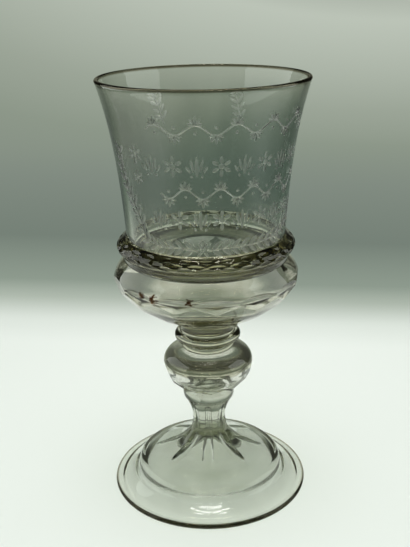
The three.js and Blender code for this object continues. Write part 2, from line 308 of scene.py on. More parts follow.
def lip_deposit_and_shade(finish):
    """A brown line at the lip: part deposit on the fire-polished lip, part painted shade where the rounded lip
    looks dark.
    """
    return rising(height_of(finish), CUP_TOP - 1.5, 0.6)


def foot_edge_painted_shade(finish):
    """Painted shade: the olive line along the outer edge of the foot, where the rounded edge looks dark."""
    return rising(away_from_axis(finish), FOOT_RADIUS - 1.5, 1)


def bulb_specks(finish):
    """Brown residue left in spots on the bulb."""
    ragged = (finish.noise(600, (1, 1, 1.6), 3) - 0.5) * (SPECK_RAGGED * MM)
    share = 0.0
    for centre, size in BULB_SPECKS:
        ends = {0: finish.place(), 1: tuple(part * MM for part in centre)}
        away = finish.node("ShaderNodeVectorMath", {"operation": "DISTANCE"}, ends, "Value")
        share = falling(away - ragged, size, SPECK_EDGE) + share
    return share.clamped()


def foot_brim_haze_and_shade(finish):
    """Share of clear skin on the foot: all of it on the outer brim, little on the dome, which is left darker
    and lets less lamp light through, as haze and as painted shade of the shadow under the dome.
    """
    return rising(away_from_axis(finish), DOME_RADIUS + 0.6, 8)


def no_part(finish):
    return 0.0


def cup_painted_shade(finish):
    """Share of painted shade on the cup, darker and greyer: most of it low on the wall and to the right."""
    place = finish.place()
    x, height = (finish.part_of(place, axis) for axis in "XZ")
    below_lip = ((CUP_TOP - 10) * MM - height) / (60 * MM)
    return (below_lip + x * 8).clamped() * rising(height, BULB_TOP + 13.5, 20)


def knop_painted_shade_band(finish):
    """Share of the painted shade band round the thick upper half of the knop."""
    height = height_of(finish)
    return rising(height, STEM_TOP + 11.2, 0.8) * falling(height, KNOP_TOP - 3.8, 2)


def cup_floor_part(finish):
    """Share of clearer glass on the cup: all of it in the thick floor."""
    return falling(height_of(finish), BULB_TOP + 10, 2)


def blown_glass(
    name, pale, streak, tint, ripple, clear_skin_part=no_part, painted_shade_part=no_part, painted_shade=(1, 1, 1),
    stain_and_shade_part=no_part, stain_and_shade=(0.5, 0.46, 0.38), clear_part=no_part,
):
    """Old blown glass: worn skin with faint streaks, and a slow ripple left by the tools."""
    finish = Finish(name)
    streaks = finish.noise(70, (1, 1, 0.25), 3)
    worn = finish.blend(streaks, (*pale, 1), (*streak, 1))
    clear_skin = clear_skin_part(finish)
    # Painted shade darkens the worn skin low on the cup and round the knop.
    shaded_skin = finish.blend(painted_shade_part(finish), worn, (*painted_shade, 1))
    skin = finish.blend(clear_skin, shaded_skin, (0.985, 0.988, 0.98, 1))
    # Real stains on the bulb, a lip line that is part deposit and part painted shade, and a painted shade line
    # along the foot's edge.
    skin = finish.blend(stain_and_shade_part(finish), skin, (*stain_and_shade, 1))
    colour = finish.node(
        "ShaderNodeMix", {"data_type": "RGBA", "blend_type": "MULTIPLY"},
        {0: 1.0, 6: skin, 7: depth_tint(finish, tint, clear_part(finish))}, 2,
    )
    wave = finish.noise(45, (1, 1, 0.5), 1)
    fine = finish.noise(260, (1, 1, 1), 2)
    bent = finish.bump(wave + fine * 0.06, ripple, 0.0006)
    glass = finish.node(
        "ShaderNodeBsdfGlass", {}, {"Color": colour, "Roughness": 0.0, "IOR": 1.51, "Normal": bent}
    )
    return finish.done(lets_lamps_through(finish, glass, clear_skin))


def welded_joint(name):
    """The melted joint between two pieces, where the glass runs on without a surface."""
    finish = Finish(name)
    return finish.done(finish.node("ShaderNodeBsdfTransparent", {}, {"Color": (1, 1, 1, 1)}))


def matt_engraving(name):
    """Wheel-cut marks, left matt by the grit."""
    finish = Finish(name)
    grit = finish.noise(2600, detail=3)
    colour = finish.blend(grit, (0.6, 0.62, 0.59, 1), (0.76, 0.77, 0.74, 1))
    sockets = {
        "Base Color": colour,
        "Roughness": 0.34 + 0.15 * grit,
        "IOR": 1.5,
        "Transmission Weight": 0.86,
        "Normal": finish.bump(grit, 0.4, 0.0001),
    }
    cut = finish.node("ShaderNodeBsdfPrincipled", {}, sockets)
    return finish.done(lets_lamps_through(finish, cut, 0.0))


# The cup carries painted shade low on the wall and to the right, and a brown lip line, part deposit and part
# painted shade.
CUP_GLASS = blown_glass(
    "cup_glass", pale=(0.985, 0.988, 0.982), streak=(0.84, 0.855, 0.85), tint=(60, 59, 76), ripple=0.25,
    clear_skin_part=cup_lip, painted_shade_part=cup_painted_shade, painted_shade=(0.77, 0.83, 0.825),
    stain_and_shade_part=lip_deposit_and_shade, clear_part=cup_floor_part,
)
BULB_GLASS = blown_glass(
    "bulb_glass", pale=(0.98, 0.977, 0.965), streak=(0.93, 0.922, 0.895), tint=(28, 29, 44), ripple=0.2,
    stain_and_shade_part=bulb_specks, stain_and_shade=(0.24, 0.13, 0.06),
)
# The foot's dome is darker than its brim, as haze and painted shade of the shadow under it, and its edge
# carries a painted shade line.
FOOT_GLASS = blown_glass(
    "foot_glass", pale=(0.985, 0.988, 0.985), streak=(0.85, 0.86, 0.855), tint=(26, 25, 34), ripple=0.25,
    clear_skin_part=foot_brim_haze_and_shade, stain_and_shade_part=foot_edge_painted_shade,
)
MERESE_GLASS = blown_glass(
    "merese_glass", pale=(0.93, 0.922, 0.895), streak=(0.88, 0.868, 0.83), tint=(40, 41, 56), ripple=0.2,
)
# The knop carries a painted shade band round its thick upper half.
KNOP_GLASS = blown_glass(
    "knop_glass", pale=(0.975, 0.975, 0.963), streak=(0.955, 0.954, 0.938), tint=(8, 8, 11), ripple=0.2,
    painted_shade_part=knop_painted_shade_band, painted_shade=(0.73, 0.725, 0.65),
)
STEM_GLASS = blown_glass(
    "stem_glass", pale=(0.965, 0.965, 0.955), streak=(0.93, 0.93, 0.915), tint=(24, 23, 29), ripple=0.2,
)
RING_GLASS = blown_glass(
    "ring_glass", pale=(0.93, 0.915, 0.88), streak=(0.8, 0.775, 0.71), tint=(22, 23, 34), ripple=0.1,
)
JOINT = welded_joint("welded_joint")
ENGRAVED = matt_engraving("matt_engraving")


# Shapes. A piece has a slot for its own glass, one for melted joints and one for what else it shows.
GLASS, MELTED, OTHER = range(3)


def quarter_round(start, end, level, steps=CURVE_STEPS):
    """Points of a quarter round between two (radius, height) points, level or upright at the first."""
    points = []
    for step in range(steps + 1):
        angle = math.pi / 2 * step / steps
        early, late = 1 - math.cos(angle), math.sin(angle)
        across, up = (late, early) if level else (early, late)
        points.append((start[0] + (end[0] - start[0]) * across, start[1] + (end[1] - start[1]) * up))
    return points


def smooth_line(points, steps=6):
    """A soft line through all the points."""
    line = []
    for index in range(len(points) - 1):
        before = Vector(points[max(index - 1, 0)])
        start, end = Vector(points[index]), Vector(points[index + 1])
        after = Vector(points[min(index + 2, len(points) - 1)])
        straight = end - before
        bend = 2 * before - 5 * start + 4 * end - after
        twist = 3 * start - before - 3 * end + after
        for step in range(steps):
            t = step / steps
            line.append(tuple((2 * start + straight * t + bend * t * t + twist * t ** 3) / 2))
    line.append(tuple(points[-1]))
    return line


def bezier(points, steps):
    """A line from the first point to the last, drawn towards the ones between."""
    line = []
    for step in range(steps + 1):
        left = [Vector(point) for point in points]
        while len(left) > 1:
            left = [a.lerp(b, step / steps) for a, b in zip(left, left[1:])]
        line.append(tuple(left[0]))
    return line


def cleaned(bm):
    """Merges the doubles of a skin and turns its faces outwards."""
    bmesh.ops.remove_doubles(bm, verts=bm.verts, dist=SAME_PLACE)
    bmesh.ops.recalc_face_normals(bm, faces=bm.faces)
    return bm


def turned(outline, sides=ROUND_STEPS):
    """Turns an outline of (radius, height) points about the upright axis into a closed skin."""
    bm = bmesh.new()
    corners = [bm.verts.new((0, -radius * MM, height * MM)) for radius, height in outline]
    edges = [bm.edges.new(pair) for pair in zip(corners, corners[1:])]
    bmesh.ops.spin(
        bm, geom=corners + edges, cent=(0, 0, 0), axis=(0, 0, 1), angle=2 * math.pi,
        steps=sides, use_merge=True,
    )
    cleaned(bm)
    for face in bm.faces:
        face.smooth = True
    return bm


def cut_flat(bm, point, out):
    """Grinds off all that stands outside a plane, and leaves a flat facet there."""
    parts = bm.verts[:] + bm.edges[:] + bm.faces[:]
    made = bmesh.ops.bisect_plane(bm, geom=parts, dist=1e-8, plane_co=point, plane_no=out, clear_outer=True)
    rim = [item for item in made["geom_cut"] if isinstance(item, bmesh.types.BMEdge)]
    if rim:
        for face in bmesh.ops.contextual_create(bm, geom=rim)["faces"]:
            face.smooth = False


def cut_rows(bm, rows, count, turn, depth):
    """Rows of flats, each a straight line of the outline. Every second row is turned by half a flat."""
    pitch = 2 * math.pi / count
    for row, (lower, upper) in enumerate(rows):
        slope = (upper[0] - lower[0]) / (upper[1] - lower[1])
        for index in range(count):
            angle = math.radians(turn) + pitch * (index + 0.5 + 0.5 * (row % 2))
            side = Vector((math.sin(angle), -math.cos(angle), 0))
            point = side * (lower[0] - depth) * MM + Vector((0, 0, lower[1] * MM))
            cut_flat(bm, point, (side - Vector((0, 0, slope))).normalized())


def mark_slots(bm, test):
    """Gives each face the slot that test(radius of its farthest corner, height, upright share) names."""
    for face in bm.faces:
        middle = face.calc_center_median()
        radius = max(corner.co.xy.length for corner in face.verts) / MM
        face.material_index = test(radius, middle.z / MM, abs(face.normal.z))


def melted_at(*joints):
    """A test for mark_slots: neighbours are melted on where faces lie flat at a height, inside a radius."""

    def slot_of(radius, height, upright):
        for level, weld in joints:
            if upright > 0.99 and abs(height - level) < 0.01 and radius < weld + 0.05:
                return MELTED
        return GLASS

    return slot_of


def as_object(name, bm, finishes):
    """Puts a skin into the scene under its name, with its finishes in their slots."""
    mesh = bpy.data.meshes.new(name)
    bm.to_mesh(mesh)
    bm.free()
    for finish in finishes:
        mesh.materials.append(finish)
    thing = bpy.data.objects.new(name, mesh)
    bpy.context.scene.collection.objects.link(thing)
    return thing


def finished(name, bm, finishes, node, crease=32):
    """A piece of the glass in the place of a node, with an edge wherever it bends by more than the crease."""
    piece = as_object(name, bm, finishes)
    piece.data.set_sharp_from_angle(angle=math.radians(crease))
    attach(piece, "root")
    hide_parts(node)
    return piece


def carved(piece, wheel):
    """Takes the wheel's shape out of a piece, and leaves the wheel's finish on the cut."""
    carving = piece.modifiers.new("carving", "BOOLEAN")
    carving.operation = "DIFFERENCE"
    carving.solver = "MANIFOLD"
    carving.object = wheel
    evaluated = piece.evaluated_get(bpy.context.evaluated_depsgraph_get())
    mesh = bpy.data.meshes.new_from_object(evaluated)
    piece.modifiers.clear()
    old = piece.data
    mesh.name = old.name + "_cut"
    piece.data = mesh
    bpy.data.meshes.remove(old)


def add_skin(bm, skin):
    """Adds another skin to the one at hand."""
    mesh = bpy.data.meshes.new("skin")
    skin.to_mesh(mesh)
    skin.free()
    bm.from_mesh(mesh)
    bpy.data.meshes.remove(mesh)


def add_bubble(bm, outline):
    """A sealed bubble inside the glass, its skin facing into the bubble."""
    bubble = turned(outline)
    bmesh.ops.reverse_faces(bubble, faces=bubble.faces)
    add_skin(bm, bubble)


def lens_move(point, out, along, length, width, depth):
    """How a ball of radius one is stretched and moved to become a lens with its poles along its length."""
    beside = out.cross(along)
    axes = Matrix((beside * width / 2, out * depth, along * length / 2)).transposed() * MM
    return Matrix.Translation(point * MM) @ axes.to_4x4()


def lens_wheels(name, moves, finishes, rounds, bands):
    """A tool of many lenses, which leaves the last of the finishes on its cuts."""
    ball = bmesh.new()
    bmesh.ops.create_uvsphere(ball, u_segments=rounds, v_segments=bands, radius=1)
    first = bpy.data.meshes.new("lens")
    ball.to_mesh(first)
    ball.free()
    bm = bmesh.new()
    for move in moves:
        lens = first.copy()
        lens.transform(move)
        bm.from_mesh(lens)
        bpy.data.meshes.remove(lens)
    bpy.data.meshes.remove(first)
    return cutter(name, bm, finishes)


def cutter(name, bm, finishes):
    """A tool for carved, with the last of the finishes all over it."""
    for face in bm.faces:
        face.material_index = len(finishes) - 1
        face.smooth = True
    return as_object(name, bm, finishes)


def swept_bars(name, paths, roundness):
    """Round bars along paths of points, each point with the bar's radius there, as one mesh."""
    curve = bpy.data.curves.new(name, "CURVE")
    curve.dimensions = "3D"
    curve.bevel_depth = MM
    curve.bevel_resolution = roundness
    curve.use_fill_caps = True
    for path in paths:
        spline = curve.splines.new("POLY")
        spline.points.add(len(path) - 1)
        for spot, (point, radius) in zip(spline.points, path):
            spot.co = (*(point * MM), 1)
            spot.radius = radius
    bars = bpy.data.objects.new(name, curve)
    mesh = bpy.data.meshes.new_from_object(bars)
    bpy.data.objects.remove(bars)
    bpy.data.curves.remove(curve)
    return mesh


def skin_of(meshes):
    """One skin made of all the meshes, which aren't kept."""
    bm = bmesh.new()
    for mesh in meshes:
        bm.from_mesh(mesh)
        bpy.data.meshes.remove(mesh)
    return cleaned(bm)


def dropped(tool):
    mesh = tool.data
    bpy.data.objects.remove(tool)
    bpy.data.meshes.remove(mesh)


# Cup.


def cup_radius(height):
    """Outside of the cup at a height over its base: an even taper, with a flare towards the rim."""
    share = height / CUP_HEIGHT
    flare = RIM_RADIUS - CUP_BASE_RADIUS - CUP_TAPER
    return CUP_BASE_RADIUS + CUP_TAPER * share + flare * share ** FLARE_POWER


def cup_inner_radius(height):
    return cup_radius(height) - CUP_WALL + (CUP_WALL - RIM_WALL) * height / CUP_HEIGHT


def goblet_cup():
    base = BULB_TOP
    lip = CUP_HEIGHT - RIM_WALL / 2
    corner_top = CUP_FLOOR + CUP_CORNER
    steps = 44
    heights = [RING_HEIGHT * step / 5 for step in range(5)]
    heights += [RING_HEIGHT + (lip - RING_HEIGHT) * step / steps for step in range(steps + 1)]
    outer = [(cup_radius(height), base + height) for height in heights]
    heights = [lip - (lip - corner_top) * step / steps for step in range(steps + 1)]
    inner = [(cup_inner_radius(height), base + height) for height in heights]
    middle = ((outer[-1][0] + inner[0][0]) / 2, base + CUP_HEIGHT)
    lip_line = quarter_round(outer[-1], middle, False)[1:] + quarter_round(middle, inner[0], True)[1:-1]
    corner_foot = (cup_inner_radius(corner_top) - CUP_CORNER, base + CUP_FLOOR)
    corner = quarter_round(inner[-1], corner_foot, False, 16)[1:]
    floor = []
    for step in range(1, 7):
        share = 1 - step / 6
        floor.append((corner_foot[0] * share, base + CUP_FLOOR + CUP_FLOOR_RISE * (1 - share ** 2)))
    outline = [(0, base), (BULB_MOUTH_RADIUS, base), *outer, *lip_line, *inner, *corner, *floor]
    bm = turned(outline)

    def slot_of(radius, height, upright):
        below = height < base + 0.01 and radius > BULB_MOUTH_RADIUS + 0.1
        beside = upright < 0.6 and height < base + RING_HEIGHT and radius > cup_radius(0) - 0.5
        return MELTED if below or beside else GLASS

    mark_slots(bm, slot_of)
    return finished("engraved_cup", bm, [CUP_GLASS, JOINT, ENGRAVED], "goblet_cup")


def collar_ring():
    base = BULB_TOP
    heights = [RING_HEIGHT * share for share in (1, 0.75, 0.5, 0.25, 0)]
    bore = [(cup_radius(height), base + height) for height in heights]
    shape = smooth_line([(radius, base + height) for radius, height in RING_LINE], 5)
    bm = turned([*bore, (BULB_TOP_WELD - 0.1, base), *shape, bore[0]], 7 * RING_FACETS)

    def slot_of(radius, height, upright):
        beside = upright < 0.5 and radius < cup_radius(RING_HEIGHT) + 0.05
        below = height < base + 0.01 and radius < BULB_TOP_WELD
        if beside or below:
            return MELTED
        return OTHER if height < base + RING_FOOT else GLASS

    mark_slots(bm, slot_of)
    finishes = [RING_GLASS, JOINT, BULB_GLASS]
    ring = finished("cut_collar_ring", bm, finishes, "collar_ring", 12)
    for rows in ((0, 2), (1,)):
        for first in (0, 1):
            moves = []
            for row in rows:
                (radius, height), lean = RING_ROWS[row]
                lean = Vector(lean).normalized()
                middle = Vector((radius, base + height)) + lean * RING_LIFT
                for index in range(first, RING_FACETS, 2):
                    turn = 2 * math.pi / RING_FACETS * (index + 0.5 * (row % 2))
                    side = Vector((math.sin(turn), -math.cos(turn), 0))
                    around = Vector((math.cos(turn), math.sin(turn), 0))
                    out = side * lean.x + Vector((0, 0, lean.y))
                    point = side * middle.x + Vector((0, 0, middle.y))
                    moves.append(lens_move(point, out, around, *RING_HOLLOW))
            tool = lens_wheels("ring_wheel", moves, (RING_GLASS,), 16, 10)
            carved(ring, tool)
            dropped(tool)
    ring.data.set_sharp_from_angle(angle=math.radians(16))
    return ring


# Engraving on the cup. A place is the angle from the front in degrees and the height in millimetres.


def on_cup(place):
    """The point on the cup's outer wall and the directions out, across and up from it."""
    turn = math.radians(place[0])
    height = place[1] - BULB_TOP
    side = Vector((math.sin(turn), -math.cos(turn), 0))
    across = Vector((math.cos(turn), math.sin(turn), 0))
    slope = cup_radius(height + 0.5) - cup_radius(height - 0.5)
    up = (side * slope + Vector((0, 0, 1))).normalized()
    point = side * cup_radius(height) + Vector((0, 0, place[1]))
    return point, across.cross(up), across, up


def shifted(place, along, up):
    """The place that many millimetres along the wall and up."""
    return (place[0] + math.degrees(along / cup_radius(place[1] - BULB_TOP)), place[1] + up)


def lens_cut(cuts, place, length, width, lean):
    """One touch of the wheel: a pointed hollow that leans by so many degrees."""
    point, out, across, up = on_cup(place)
    lean = math.radians(lean)
    along = across * math.cos(lean) + up * math.sin(lean)
    cuts.append(lens_move(point, out, along, length, width, CUT_DEPTH))


def leaf(cuts, place, length, width, lean):
    """A leaf that grows from a place in the direction of its lean."""
    turn = math.radians(lean)
    reach = length / 2 + LEAF_GAP
    lens_cut(cuts, shifted(place, reach * math.cos(turn), reach * math.sin(turn)), length, width, lean)


def flower(cuts, place, size):
    """Six petals round a berry."""
    lens_cut(cuts, place, size * 0.28, size * 0.28, 0)
    for petal in range(6):
        turn = math.radians(60 * petal + 30)
        reach = size * 0.34
        spot = shifted(place, reach * math.cos(turn), reach * math.sin(turn))
        lens_cut(cuts, spot, size * 0.36, size * 0.19, 60 * petal + 30)


def walk(path, gap):
    """Places at even gaps along a path, each with the lean of the path there."""
    stops = []
    left = gap / 2
    for start, end in zip(path, path[1:]):
        across = math.radians(end[0] - start[0]) * cup_radius(start[1] - BULB_TOP)
        rise = end[1] - start[1]
        length = math.hypot(across, rise)
        while left <= length:
            share = left / length
            place = (start[0] + (end[0] - start[0]) * share, start[1] + rise * share)
            stops.append((place, math.degrees(math.atan2(rise, across))))
            left += gap
        left -= length
    return stops


def leafy_branch(cuts, stems, path, gap, length, width, spread=38):
    """A stem with leaves in pairs, all pointing the way the stem grows."""
    stems.append(path)
    for place, lean in walk(path, gap):
        leaf(cuts, place, length, width, lean + spread)
        leaf(cuts, place, length, width, lean - spread)


def vine_row(cuts, stems, height, first, last, flip):
    """A wavy stem with a leaf fan on each crest and a berry in each hollow."""
    waves = 5
    steps = waves * 12
    path = []
    for step in range(steps + 1):
        share = step / steps
        lift = VINE_WAVE * flip * math.sin(2 * math.pi * waves * share)
        path.append((first + (last - first) * share, height + lift))
    stems.append(path)
    for wave in range(2 * waves):
        share = (wave + 0.5) / (2 * waves)
        side = flip if wave % 2 == 0 else -flip
        crest = (first + (last - first) * share, height + VINE_WAVE * side)
        for lean in (50, 90, 130):
            leaf(cuts, crest, 3.4 if lean == 90 else 3.0, 1.25, lean * side)
        lens_cut(cuts, shifted(crest, 0, -3.2 * side), 1.3, 1.3, 0)
        for lean in (20, 160):
            leaf(cuts, shifted(crest, 0, -0.3 * side), 2.8, 1.1, lean * side)


def flower_row(cuts, height, first, last, count):
    """Flowers between fans of upright lens cuts."""
    for index in range(2 * count + 1):
        place = (first + (last - first) * index / (2 * count), height)
        if index % 2:
            flower(cuts, place, 8.4)
            continue
        lens_cut(cuts, place, 8.6, 1.5, 90)
        for side in (-1, 1):
            lens_cut(cuts, shifted(place, 1.9 * side, 0.4), 5.6, 1.3, 90 - 14 * side)
            lens_cut(cuts, shifted(place, 3.5 * side, -1.2), 3.4, 1.1, 90 - 34 * side)
            lens_cut(cuts, shifted(place, 2.2 * side, -4.1), 1.1, 1.1, 0)


def wreath(cuts, stems):
    """Two branches tied at the front, low on the cup, that rise beside the rows of ornament."""
    left = [
        (-5, 131.6), (-18, 132.6), (-32, 132.6), (-43, 135.4), (-48, 144),
        (-54, 151), (-60, 158), (-63, 166), (-61, 174),
    ]
    right = [
        (1, 131.6), (14, 132.6), (28, 132.6), (42, 133), (56, 134),
        (70, 137), (84, 144), (92, 154), (97, 165), (97, 174),
    ]
    for path in (left, right):
        leafy_branch(cuts, stems, smooth_line(path, 5), 4.1, 5.2, 2.0)
    lens_cut(cuts, (-2, 134.6), 3.4, 1.5, 90)
    for lean in (62, 118, -50, -130):
        leaf(cuts, (-2, 131.8), 3.4, 1.1, lean)
    flower(cuts, (-45, 172), 8)
    flower(cuts, (-45, 162), 6)


def back_sprigs(cuts, stems):
    """Two short leafy sprigs under the lip, on the far side."""
    for angle in (-148, 156):
        stem = [(angle - 3, 173), (angle - 1, 178), (angle + 1, 183), (angle + 4, 187)]
        leafy_branch(cuts, stems, smooth_line(stem, 4), 3.4, 4.6, 1.7, 46)


def stem_wheels(stems):
    """Each stem as a thin round bar laid half into the wall."""
    paths = []
    for stem in stems:
        walls = [on_cup(place) for place in stem]
        paths.append([(point + out * STEM_CUT_LIFT, STEM_CUT_RADIUS) for point, out, across, up in walls])
    return skin_of([swept_bars("stem_path", paths, 1)])


def engrave(cup):
    """Cuts four rows of ornament, the wreath round them and the sprigs behind."""
    cuts, stems = [], []
    vine_row(cuts, stems, 183.6, -33, 80, 1)
    flower_row(cuts, 168.4, -33, 81, 4)
    vine_row(cuts, stems, 156.6, -28, 79, -1)
    flower_row(cuts, 145.2, -30, 78, 4)
    wreath(cuts, stems)
    back_sprigs(cuts, stems)
    finishes = (CUP_GLASS, JOINT, ENGRAVED)
    lenses = lens_wheels("lens_wheel", cuts, finishes, 8, 6)
    for tool in (lenses, cutter("stem_wheel", stem_wheels(stems), finishes)):
        carved(cup, tool)
        dropped(tool)
    cup.data.set_sharp_from_angle(angle=math.radians(24))


# Bulb.


def faceted_bulb():
    base = MERESE_TOP
    edges = [(radius, base + height) for radius, height in BULB_EDGES]
    top_radius, top = edges[-1]
    body = smooth_line([(radius, base + height) for radius, height in BULB_BODY], 7)
    bm = turned([(0, base), *body, (0, top)])
    cut_rows(bm, list(zip(edges[:-1], edges[1:-1])), BULB_FACETS, BULB_TURN, BULB_CUT)
    bmesh.ops.remove_doubles(bm, verts=bm.verts, dist=1e-5)
    caps = [face for face in bm.faces if abs(face.normal.z) > 0.999]
    bmesh.ops.delete(bm, geom=caps, context="FACES_ONLY")
    floor = base + BULB_FLOOR
    hollow = [(0, floor), (BULB_FLOOR_RADIUS * 0.6, floor + 0.1), (BULB_FLOOR_RADIUS, floor + 0.8)]
    hollow += [(radius - wall, height + wall / 4) for (radius, height), wall in zip(edges[1:-1], BULB_WALLS)]
    ceiling = top - BULB_CEILING
    ceiling_radius = top_radius - BULB_WALLS[-1]
    hollow.append((ceiling_radius, ceiling - 0.4))
    inside = [
        *smooth_line(hollow), (ceiling_radius - 2, ceiling), (BULB_MOUTH_RADIUS, ceiling),
        (BULB_MOUTH_RADIUS, top), (BULB_TOP_WELD, top),
    ]
    add_skin(bm, turned([(0, base), (BULB_FOOT_WELD, base)]))
    add_skin(bm, turned(inside))
    loose = [edge for edge in bm.edges if edge.is_boundary]
    low = [edge for edge in loose if edge.verts[0].co.z < (base + 1) * MM]
    high = [edge for edge in loose if edge.verts[0].co.z > (top - 1) * MM]
    for loops in (low, high):
        bmesh.ops.triangle_fill(bm, edges=loops, use_beauty=True, use_dissolve=False)
    bmesh.ops.recalc_face_normals(bm, faces=bm.faces)
    mark_slots(bm, melted_at((base, BULB_FOOT_WELD), (top, BULB_TOP_WELD)))
    return finished("cut_hollow_bulb", bm, [BULB_GLASS, JOINT], "faceted_bulb", 20)


# Merese, wafer and knop.


def merese():
    base = WAFER_TOP
    middle = base + MERESE_DISC / 2
    disc_top = base + MERESE_DISC
    corner = MERESE_RADIUS - MERESE_DISC / 2
    neck = smooth_line(
        [(corner, disc_top), (MERESE_NECK_RADIUS - 0.4, disc_top + 1.6), (BULB_FOOT_WELD, MERESE_TOP)]
    )
    bm = turned([
        (0, base), (WAFER_WELD, base),
        *quarter_round((corner, base), (MERESE_RADIUS, middle), True),
        *quarter_round((MERESE_RADIUS, middle), (corner, disc_top), False)[1:],
        *neck[1:], (0, MERESE_TOP),
    ])
    mark_slots(bm, melted_at((base, WAFER_WELD), (MERESE_TOP, BULB_FOOT_WELD)))
    return finished("round_merese", bm, [MERESE_GLASS, JOINT], "merese")


def neck_wafer():
    base = KNOP_TOP
    top = WAFER_TOP
    middle = (base + top) / 2
    corner = WAFER_RADIUS - 0.9
    bm = turned([
        (0, base), (WAFER_WELD, base),
        *quarter_round((corner, base), (WAFER_RADIUS, middle), True),
        *quarter_round((WAFER_RADIUS, middle), (corner, top), False)[1:],
        (WAFER_WELD, top), (0, top),
    ])
    mark_slots(bm, melted_at((base, WAFER_WELD), (top, WAFER_WELD)))
    return finished("wafer_disc", bm, [MERESE_GLASS, JOINT], "neck_wafer")


def faceted_knop():
    base = STEM_TOP
    top = KNOP_TOP
    belly = base + KNOP_BELLY
    lower = quarter_round((KNOP_FOOT_RADIUS, base), (KNOP_RADIUS, belly), True, 20)
    upper = quarter_round((KNOP_RADIUS, belly), (KNOP_TOP_RADIUS, top), False, 16)
    bm = turned([(0, base), (STEM_WELD, base), *lower, *upper[1:], (WAFER_WELD, top), (0, top)])
    middle_radius = KNOP_FOOT_RADIUS + (KNOP_RADIUS - KNOP_FOOT_RADIUS) * KNOP_EDGE[0]
    middle = base + KNOP_BELLY * KNOP_EDGE[1]
    rows = [
        ((middle_radius, middle), (KNOP_RADIUS, base + KNOP_BELLY * 0.85)),
        ((KNOP_FOOT_RADIUS + KNOP_CUT, base), (middle_radius + KNOP_CUT, middle)),
    ]
    cut_rows(bm, rows, KNOP_FACETS, KNOP_TURN, KNOP_CUT)
    dome = quarter_round(KNOP_DISH[-1], (KNOP_DOME_RADIUS, KNOP_DOME_TOP), False, 16)
    add_bubble(bm, [*smooth_line(KNOP_DISH), *dome[1:], (0, KNOP_DOME_TOP)])
    mark_slots(bm, melted_at((base, STEM_WELD), (top, WAFER_WELD)))
    return finished("cut_hollow_knop", bm, [KNOP_GLASS, JOINT], "faceted_knop")


# Stem and foot.


def trumpet():
    """The line of foot and stem in three lengths, from the cone up to the collar, and the cone's slope."""
    cone_top = FOOT_TOP - FLARE_RISE
    collar_foot = STEM_TOP - COLLAR_DROP - COLLAR_HEIGHT
    slope = CONE_RISE / (DOME_RADIUS - DOME_SHOULDER - FLARE_RADIUS)
    run = (FLARE_RADIUS - STEM_FOOT_RADIUS) / 2
    joint = (STEM_FOOT_RADIUS, FOOT_TOP)
    waist = (WAIST_RADIUS, FOOT_TOP + WAIST_RISE)
    rise = collar_foot - waist[1]
    foot = [
        (FLARE_RADIUS, cone_top), (FLARE_RADIUS - run, cone_top + slope * run),
        (STEM_FOOT_RADIUS + run / 3, FOOT_TOP - FLARE_RISE / 4), joint,
    ]
    lower = [joint, (WAIST_RADIUS, FOOT_TOP + WAIST_RISE / 2), waist]
    upper = [
        waist, (WAIST_RADIUS, waist[1] + rise / 2),
        ((WAIST_RADIUS + COLLAR_RADIUS) / 2, collar_foot - rise / 4), (COLLAR_RADIUS - 1, collar_foot),
    ]
    return (foot, lower, upper), slope


def flute_wheels(first):
    """Every second flute as a bar swept along the trumpet line, thicker on the cone, where it runs out."""
    lines, slope = trumpet()
    start = Vector(lines[0][0])
    cone_run = Vector((-1, slope))
    cone_out = Vector((slope, 1)).normalized()
    stations = []
    for reach, depth, bar in FLUTE_RUN_OUT:
        stations.append((*(start - cone_run * reach + cone_out * (bar - depth)), bar))
    steps = 100
    for line, share, depth, bar in FLUTE_STATIONS:
        points = [Vector(point) for point in bezier(lines[line], steps)]
        index = min(int(share * steps), steps - 1)
        run = points[index + 1] - points[index]
        out = Vector((run.y, -run.x)).normalized()
        if out.x < 0:
            out.negate()
        stations.append((*(points[round(share * steps)] + out * (bar - depth)), bar))
    path = [(Vector((0, -radius, height)), bar) for radius, height, bar in smooth_line(stations, 5)]
    flute = swept_bars("flute_path", [path], 14)
    flutes = []
    for index in range(first, FLUTES, 2):
        flutes.append(flute.copy())
        flutes[-1].transform(Matrix.Rotation(math.radians(FLUTE_TURN + 360 / FLUTES * index), 4, "Z"))
    bpy.data.meshes.remove(flute)
    return cutter("flute_wheel", skin_of(flutes), (FOOT_GLASS,))


def fluted_stem():
    foot, lower, upper = trumpet()[0]
    top = STEM_TOP
    middle = top - COLLAR_DROP - COLLAR_HEIGHT / 2
    collar = smooth_line([
        (COLLAR_RADIUS - 1, middle - COLLAR_HEIGHT / 2), (COLLAR_RADIUS - 0.3, middle - COLLAR_HEIGHT * 0.35),
        (COLLAR_RADIUS, middle), (COLLAR_RADIUS - 0.2, middle + COLLAR_HEIGHT * 0.3), (STEM_WELD, top),
    ])
    bm = turned([(0, FOOT_TOP), *bezier(lower, 8), *bezier(upper, 20)[1:], *collar[1:], (0, top)])
    mark_slots(bm, melted_at((FOOT_TOP, STEM_FOOT_RADIUS), (top, STEM_WELD)))
    return finished("waisted_stem", bm, [STEM_GLASS, JOINT], "fluted_stem")


